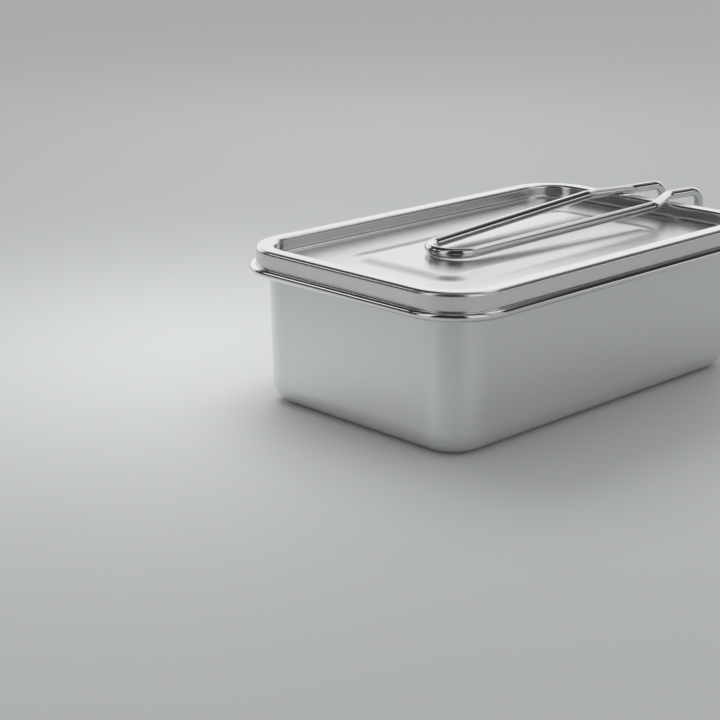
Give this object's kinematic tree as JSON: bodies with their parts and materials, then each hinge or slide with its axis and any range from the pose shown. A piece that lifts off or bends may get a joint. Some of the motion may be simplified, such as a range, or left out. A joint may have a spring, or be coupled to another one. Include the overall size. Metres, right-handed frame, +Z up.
{
  "type": "lunch box",
  "caption": "Pressed steel lunch box with a recessed drop-on lid, a sealing ring inside it, and a bent-wire handle that folds flat over the lid or swings out as a pan handle.",
  "frame": {"origin": "centre of the flat underside", "axes": "+X towards the end that carries the hinge, +Y towards a long side, +Z up out of the tub"},
  "size_m": [0.2008, 0.1156, 0.0631],
  "materials": {
    "tub_steel": "satin, drawn sheet",
    "lid_steel": "fine brushed, half bright",
    "silicone": "matte, moulded",
    "wire_steel": "bright drawn wire",
    "bracket_steel": "satin, folded plate",
    "rivet_steel": "polished domed heads"
  },
  "bodies": {
    "box": {"tub": "tub_steel", "hinge_bracket": "bracket_steel", "rivet_upper": "rivet_steel", "rivet_lower": "rivet_steel"},
    "lid": {"lid": "lid_steel", "lid_seal": "silicone"},
    "handle": {"handle": "wire_steel"}
  },
  "joints": [
    {"name": "handle_swing", "type": "hinge", "parent": "box", "child": "handle", "pos_m": [0.09404, 0, 0.03477], "axis": [0, 1, 0], "range_deg": [0, 165]},
    {"name": "lid_lift", "type": "slide", "parent": "box", "child": "lid", "axis": [0, 0, 1], "range_m": [0, 0.0173]}
  ],
  "couplings": [
    {"joint": "lid_lift", "follows": "handle_swing", "m_per_rad": 0.006}
  ]
}
